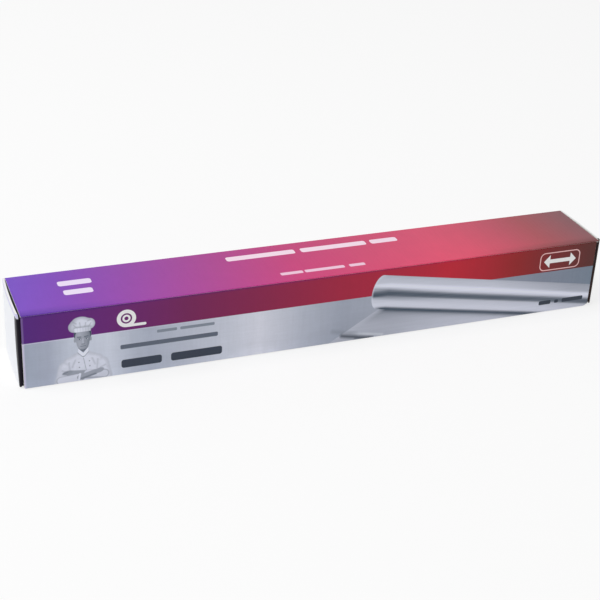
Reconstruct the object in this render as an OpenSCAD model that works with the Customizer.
// Dispenser carton of micro-flute board with a roll of catering foil in it.
// The front faces -Y, the length runs along X, and Z = 0 is what the carton stands on.

/* [Foil roll] */
// Width of the foil web
foil_width = 450; // [300:5:600]
// Thickness of the foil that is wound on the core
wound_t = 8.5; // [3:0.5:20]
// Inside diameter of the card core
core_bore_d = 30; // [20:0.5:34]
// Wall of the card core
core_wall = 1.5; // [1:0.1:3]
// How far the core stands out of the foil at each end
core_overhang = 3.5; // [0.5:0.5:6]
// Height of the step at the free edge of the outer turn
turn_step = 0.3; // [0.1:0.05:0.6]
// Length of foil that stands off the roll at the free edge
tail_length = 18; // [6:1:22]
// Number of rings that show in each wound end
end_rings = 7; // [3:1:10]
// Depth of one step between those rings
ring_step = 0.2; // [0.05:0.05:0.4]

/* [Board] */
// Thickness of the board
board = 1.5; // [0.8:0.1:2]
// Outer radius of a fold
fold_r = 1.2; // [0.4:0.1:2]

/* [Room round the roll] */
// From the roll to the inner front wall
front_play = 3.7; // [3:0.1:12]
// From the roll to the back wall
back_play = 3.8; // [1:0.1:12]
// From the roll to the lid
head_room = 5.7; // [5:0.1:20]
// From the core to the dust flap at each end
end_play = 3.6; // [1:0.1:8]

/* [Lid] */
// From the lid down to the top edge of the inner front wall
lip_drop = 12; // [8:0.5:24]
// Room for the web between the inner front wall and the front flap
web_gap = 1; // [0.7:0.1:2.5]
// From the floor up to the front flap and the end flaps
flap_foot = 0.5; // [0.2:0.1:3]
// How far the front flap stops short of the lid's right end
front_inset = 2.2; // [0:0.1:4]
// Radius of the front flap's lower left corner
flap_left_r = 1; // [0.5:0.5:12]
// Radius of the front flap's lower right corner
flap_right_r = 4; // [0.5:0.5:12]

/* [End flaps] */
// Gap between the lid's end and a shut end flap
lid_end_gap = 0.3; // [0.3:0.1:2]
// How far an end flap's top edge stays below the lid's top face
flap_drop = 0.3; // [0.2:0.1:3]
// How far an end flap bulges outwards
end_bulge = 0.8; // [0.3:0.1:1.4]
// Angle at which the end flaps stand open
flap_ajar = 1; // [0:0.1:3]
// Outer radius of the fold between an end flap and its tuck tab
tuck_fold_r = 2.4; // [2.4:0.1:5]
// Length of the tuck tab
tab_length = 12; // [6:0.5:13]
// How far the tuck fold keeps away from the lid and from the bottom of its flap
fold_shoulder = 1.5; // [1.3:0.1:4]
// From the bottom of an end flap up to its tuck tab
tab_shoulder = 4; // [3:0.5:10]
// Height of the band of inner front wall that passes over the tuck tabs
band_h = 10.5; // [8:0.5:16]
// Radius of the tuck tab's leading corners
tab_corner_r = 6; // [1:0.5:6]
// Height of the dust flap that is folded up from the bottom
dust_flap_h = 30; // [12:1:40]
// Taper of the dust flap on each side
dust_flap_taper = 4; // [0:0.5:8]

/* [Cutter strip] */
// Width of the steel strip
cutter_w = 12; // [8:0.5:20]
// Thickness of the steel strip
cutter_t = 0.3; // [0.2:0.05:0.4]
// How far the strip runs on past the foil at each end
cutter_overlap = 2; // [0:0.5:3]
// How far the teeth stand above the inner front wall
cutter_rise = 2.5; // [1:0.1:6]
// Pitch of the teeth
tooth_pitch = 2; // [1.5:0.1:5]
// Depth of the teeth
tooth_depth = 1.4; // [0.5:0.1:2]

/* [Hidden] */
$fn = 96;

// Clearance between parts that move past each other
gap = 0.3;
// How far each panel stops short of the mitre plane of a fold, measured along the board
fold_slit = 0.1;
// Radial clearance between the core and the first turn
core_fit = 0.05;
// Slit between a dust flap and what stands beside it
dust_slit = 1;
// Room round the tuck tab in the notch of the inner front wall
notch_room = 1;
// How far a cutting shape runs past what it cuts
overcut = 1;

core_od = core_bore_d + 2 * core_wall;
core_length = foil_width + 2 * core_overhang;
foil_r = core_od / 2 + wound_t;
bore_r = core_od / 2 + core_fit;

width = 3 * board + web_gap + front_play + 2 * foil_r + back_play;
height = 2 * board + gap + 2 * foil_r + head_room;
back_y = width / 2;
front_y = -width / 2;
tray_half = core_length / 2 + end_play + board;
flap_x = tray_half + gap + board;
flap_top = height - flap_drop;
fold_foot = flap_foot + fold_shoulder;
fold_top = height - board - gap - fold_shoulder;
lid_half = flap_x - board - lid_end_gap;
front_right = lid_half - front_inset;
wall_y = front_y + board + web_gap;
wall_top = height - board - lip_drop;
roll_y = back_y - board - back_play - foil_r;
roll_z = board + gap + foil_r;

// The tuck tab runs behind the front flap. It is curved round the end flap's hinge, so that it
// swings out along itself.
tab_reach = width - board - gap;
tuck_turn = asin(tuck_fold_r / (tab_reach - tuck_fold_r));
tab_turn = tab_length / tab_reach * 180 / PI;
tuck_x = flap_x - tuck_fold_r;
tuck_y = back_y - (tab_reach - tuck_fold_r) * cos(tuck_turn);
tab_start_x = from_hinge(tab_reach, tuck_turn)[0];
tab_end_x = from_hinge(tab_reach, tuck_turn + tab_turn)[0];

// The inner front wall leaves room for the tab: a notch below, and a band over it.
notch_x = tab_end_x - notch_room;
band_x = tab_start_x - gap;
band_foot = wall_top - band_h;
tab_top = band_foot - gap;

// A point at a distance from the right flap's hinge, in a direction turned inwards from -Y.
function from_hinge(distance, turn) =
    [flap_x - distance * sin(turn), back_y - distance * cos(turn)];

// A rectangle given by its limits, with corners of radius r.
module rounded(x0, x1, y0, y1, r) {
    translate([x0 + r, y0]) square([x1 - x0 - 2 * r, y1 - y0]);
    translate([x0, y0 + r]) square([x1 - x0, y1 - y0 - 2 * r]);
    for (x = [x0 + r, x1 - r], y = [y0 + r, y1 - r])
        translate([x, y]) circle(r);
}

// What a rounding of radius r takes off a corner at the origin that points to +X and +Y.
module corner_waste(r) {
    translate([-r, -r])
        difference() {
            square(r + overcut);
            circle(r);
        }
}

// A ring of board, seen in section, with folds of radius fold_r.
module board_ring(x0, x1, y0, y1) {
    difference() {
        rounded(x0, x1, y0, y1, fold_r);
        translate([x0 + board, y0 + board]) square([x1 - x0 - 2 * board, y1 - y0 - 2 * board]);
    }
}

// Extrudes a section drawn as (y, z) along X, centred.
module along_x(length) {
    rotate([90, 0, 90])
        linear_extrude(length, center = true)
            children();
}

// Extrudes an outline drawn as (x, z) along Y, from the front backwards.
module along_y(depth) {
    translate([0, depth, 0])
        rotate([90, 0, 0])
            linear_extrude(depth)
                children();
}

// The lid's section before it is cut into panels: it runs on below the floor.
module lid_ring() {
    board_ring(front_y, back_y, -height, height);
}

// The part of a section that the lid panel takes, bounded by the two mitred folds.
module lid_panel_side() {
    reach = 3 * board;
    polygon([
        [front_y - reach + fold_slit, height + reach],
        [back_y + reach - fold_slit, height + reach],
        [back_y - reach - fold_slit, height - reach],
        [front_y + reach + fold_slit, height - reach]
    ]);
}

// The part of a section behind the rear mitre, and in front of the front mitre.
module wall_side(corner_y, inwards) {
    reach = 3 * board;
    polygon([
        [corner_y - inwards * reach, height + reach - fold_slit],
        [corner_y + inwards * reach, height - reach - fold_slit],
        [corner_y + inwards * reach, -height],
        [corner_y - inwards * reach, -height]
    ]);
}

// Plan of the back wall, mitred at both ends where the end flaps fold.
module back_wall_plan() {
    reach = 3 * board;
    polygon([
        [-flap_x - reach + fold_slit, back_y + reach],
        [flap_x + reach - fold_slit, back_y + reach],
        [flap_x - reach - fold_slit, back_y - reach],
        [-flap_x + reach + fold_slit, back_y - reach]
    ]);
}

module back_wall() {
    intersection() {
        along_x(2 * flap_x + 2 * board)
            intersection() {
                board_ring(wall_y, back_y, 0, height);
                wall_side(back_y, -1);
                translate([back_y - board, 0]) square([board, height]);
            }
        linear_extrude(height) back_wall_plan();
    }
}

// Bottom and inner front wall as one bent sheet. The wall is cut away where the tuck tabs go in.
module floor_and_front_wall() {
    difference() {
        along_x(2 * tray_half)
            intersection() {
                board_ring(wall_y, back_y, 0, height + board);
                union() {
                    translate([wall_y, 0]) square([board, wall_top]);
                    translate([wall_y, 0]) square([width, board]);
                }
            }
        for (side = [0, 1])
            mirror([side, 0, 0])
                translate([0, wall_y - board, 0])
                    along_y(3 * board) {
                        translate([notch_x, board]) square([tray_half, band_foot - board]);
                        translate([band_x, board]) square([tray_half, height]);
                    }
    }
}

// Dust flap of the right end, folded up from the bottom.
module dust_flap() {
    front = back_y - tab_reach + board + dust_slit;
    rear = back_y - board - dust_slit;
    translate([tray_half - board / 2, 0, 0])
        along_x(board)
            polygon([
                [front, 0],
                [rear, 0],
                [rear, dust_flap_h / 3],
                [rear - dust_flap_taper, dust_flap_h],
                [front + dust_flap_taper, dust_flap_h],
                [front, dust_flap_h / 3]
            ]);
}

module tray() {
    color([0.95, 0.95, 0.94])
        difference() {
            union() {
                back_wall();
                floor_and_front_wall();
                for (side = [0, 1]) mirror([side, 0, 0]) dust_flap();
            }
            for (side = [0, 1])
                mirror([side, 0, 0])
                    translate([tray_half, wall_y, 0])
                        mirror([0, 0, 1])
                            along_y(width - 2 * board - web_gap) corner_waste(fold_r);
        }
}

module lid_panel() {
    color([0.74, 0.30, 0.50])
        along_x(2 * lid_half)
            intersection() {
                lid_ring();
                lid_panel_side();
            }
}

// The flap that hangs from the lid over the whole front.
module front_flap() {
    color([0.66, 0.66, 0.70])
        difference() {
            translate([-front_inset / 2, 0, 0])
                along_x(2 * lid_half - front_inset)
                    intersection() {
                        lid_ring();
                        wall_side(front_y, 1);
                        translate([front_y, flap_foot]) square([board, height]);
                    }
            translate([0, front_y - board, flap_foot])
                mirror([0, 0, 1])
                    along_y(3 * board) {
                        translate([front_right, 0]) corner_waste(flap_right_r);
                        mirror([1, 0]) translate([lid_half, 0]) corner_waste(flap_left_r);
                    }
        }
}

module arc_of_board(centre, r) {
    translate(centre)
        difference() {
            circle(r, $fn = 360);
            circle(r - board, $fn = 360);
        }
}

// Plan of the right end flap's panel, which bulges a little.
module end_panel_plan() {
    reach = 3 * board;
    chord = back_y - tuck_y;
    bulge_r = (chord * chord / 4 + end_bulge * end_bulge) / (2 * end_bulge);
    intersection() {
        arc_of_board([flap_x + end_bulge - bulge_r, (back_y + tuck_y) / 2], bulge_r);
        polygon([
            [flap_x + reach, tuck_y],
            [flap_x + reach, back_y + reach - fold_slit],
            [flap_x - reach, back_y - reach - fold_slit],
            [flap_x - reach, tuck_y]
        ]);
    }
}

// Plan of the round fold from the panel to the tuck tab.
module tuck_fold_plan() {
    intersection() {
        arc_of_board([tuck_x, tuck_y], tuck_fold_r);
        polygon([
            [flap_x, back_y],
            from_hinge(2 * tab_reach, tuck_turn),
            [flap_x + tab_reach, back_y - 2 * tab_reach],
            [flap_x + tab_reach, back_y]
        ]);
        polygon([
            [tuck_x - tuck_fold_r, tuck_y],
            [flap_x + tuck_fold_r, tuck_y],
            [flap_x + tuck_fold_r, front_y],
            [tuck_x - tuck_fold_r, front_y]
        ]);
    }
}

// Plan of the part of that fold which stands beside the lid's end and the floor.
module fold_corner_plan() {
    intersection() {
        translate([tuck_x, tuck_y]) circle(tuck_fold_r, $fn = 360);
        translate([flap_x - board, tuck_y - 2 * tuck_fold_r]) square(2 * tuck_fold_r);
    }
}

// The panel's two rounded corners, above and below the tuck fold.
module fold_corners() {
    intersection() {
        union() {
            translate([0, 0, flap_foot])
                linear_extrude(fold_foot - flap_foot) fold_corner_plan();
            translate([0, 0, fold_top])
                linear_extrude(flap_top - fold_top) fold_corner_plan();
        }
        along_x(2 * flap_x + 2 * board)
            rounded(tuck_y - tuck_fold_r, tuck_y + tuck_fold_r, flap_foot, flap_top, 0.8 * tuck_fold_r);
    }
}

module tuck_tab_plan() {
    intersection() {
        arc_of_board([flap_x, back_y], tab_reach);
        polygon([
            [flap_x, back_y],
            from_hinge(2 * tab_reach, tuck_turn),
            from_hinge(2 * tab_reach, tuck_turn + tab_turn)
        ]);
    }
}

// The right end flap with its tab pushed all the way in.
module shut_end_flap() {
    color([0.96, 0.96, 0.97]) {
        translate([0, 0, flap_foot])
            linear_extrude(flap_top - flap_foot) end_panel_plan();
        translate([0, 0, fold_foot])
            linear_extrude(fold_top - fold_foot) tuck_fold_plan();
        fold_corners();
        intersection() {
            linear_extrude(height) tuck_tab_plan();
            translate([0, front_y, 0])
                along_y(width / 2)
                    rounded(tab_end_x, flap_x + tab_corner_r, flap_foot + tab_shoulder, tab_top, tab_corner_r);
        }
    }
}

module right_end_flap() {
    translate([flap_x, back_y, 0])
        rotate(flap_ajar)
            translate([-flap_x, -back_y, 0])
                shut_end_flap();
}

module left_end_flap() {
    mirror([1, 0, 0]) right_end_flap();
}

// Section of the outer turn: it goes nearly round, then its free edge stands off the roll.
// The tail leaves it at a slight tilt. The turn is drawn one step deeper than it shows, and it runs
// on under the tail, so that the web is one solid.
peel_angle = 104;
peel_tilt = 4;
turn_cover = 330;
under_tail = 14;
tail_curve_r = 2 * foil_r;

module sector(r, start, sweep) {
    steps = ceil(sweep / 60);
    polygon([
        [0, 0],
        for (i = [0 : steps]) [2 * r * cos(start + sweep * i / steps), 2 * r * sin(start + sweep * i / steps)]
    ]);
}

module foil_arc(r, thickness, start, sweep) {
    intersection() {
        difference() {
            circle(r, $fn = 180);
            circle(r - thickness, $fn = 180);
        }
        sector(r, start, sweep);
    }
}

module outer_turn() {
    foil_arc(foil_r, 2 * turn_step, peel_angle - turn_cover, turn_cover + under_tail);
    rotate(peel_angle)
        translate([foil_r - turn_step, 0])
            rotate(-peel_tilt)
                translate([turn_step / 2 - tail_curve_r, 0])
                    foil_arc(tail_curve_r, turn_step, 0, tail_length / tail_curve_r * 180 / PI);
}

// Half the width of the wound foil at ring i: the turns never line up exactly.
function ring_end(i) = foil_width / 2 - ring_step * (i * 2 % 3);
function ring_radius(i) = bore_r + (foil_r - turn_step - bore_r) * i / end_rings;

module wound_foil() {
    rotate([0, 90, 0])
        rotate_extrude($fn = 180)
            polygon([
                for (i = [0 : end_rings - 1]) each [[ring_radius(i), ring_end(i)], [ring_radius(i + 1), ring_end(i)]],
                for (i = [end_rings - 1 : -1 : 0]) each [[ring_radius(i + 1), -ring_end(i)], [ring_radius(i), -ring_end(i)]]
            ]);
}

module foil_roll() {
    color([0.80, 0.81, 0.83])
        translate([0, roll_y, roll_z]) {
            wound_foil();
            along_x(foil_width) outer_turn();
        }
}

module core_tube() {
    color([0.72, 0.58, 0.42])
        translate([0, roll_y, roll_z])
            rotate([0, 90, 0])
                difference() {
                    cylinder(h = core_length, d = core_od, center = true);
                    cylinder(h = core_length + 2 * overcut, d = core_bore_d, center = true);
                }
}

module cutter_strip() {
    teeth = floor((foil_width + 2 * cutter_overlap) / tooth_pitch);
    length = teeth * tooth_pitch;
    tip = wall_top + cutter_rise;
    color([0.62, 0.64, 0.66])
        translate([-length / 2, wall_y - cutter_t, 0])
            along_y(cutter_t)
                polygon([
                    [0, tip - cutter_w],
                    for (i = [0 : teeth - 1]) each [
                        [i * tooth_pitch, tip - tooth_depth],
                        [(i + 0.5) * tooth_pitch, tip]
                    ],
                    [length, tip - tooth_depth],
                    [length, tip - cutter_w]
                ]);
}

tray();
lid_panel();
front_flap();
left_end_flap();
right_end_flap();
foil_roll();
core_tube();
cutter_strip();
